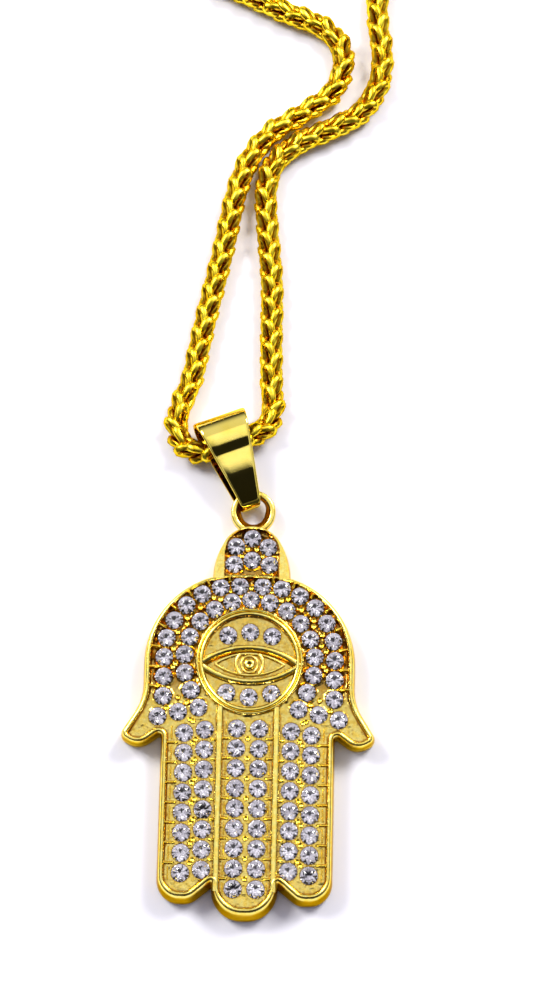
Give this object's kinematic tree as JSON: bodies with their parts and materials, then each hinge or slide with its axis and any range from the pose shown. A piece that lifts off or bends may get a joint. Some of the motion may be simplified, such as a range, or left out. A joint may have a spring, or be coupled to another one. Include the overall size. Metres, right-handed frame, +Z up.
{
  "type": "hamsa pendant necklace",
  "caption": "Cast hamsa hand with an eye on its palm, set with small clear stones, on a folded bail and a whole wheat chain, lying face up.",
  "frame": {"origin": "On the flat back of the hand, below the centre of the eye.", "axes": "+Z up out of the hand's face, +Y from the fingertips to the top loop and the chain, +X to the right of the face."},
  "size_m": [0.1506, 0.2712, 0.0046],
  "materials": {
    "gold": "gold-plated casting, satin rim and bright-cut floor",
    "polished_gold": "gold-plated, mirror polished",
    "chain_gold": "gold-plated wire, polished",
    "stone": "clear cut crystal with a silvered back"
  },
  "bodies": {
    "root": {"hand": "gold", "stones": "stone", "bail": "polished_gold", "chain": "chain_gold", "clasp": "gold"}
  },
  "joints": []
}
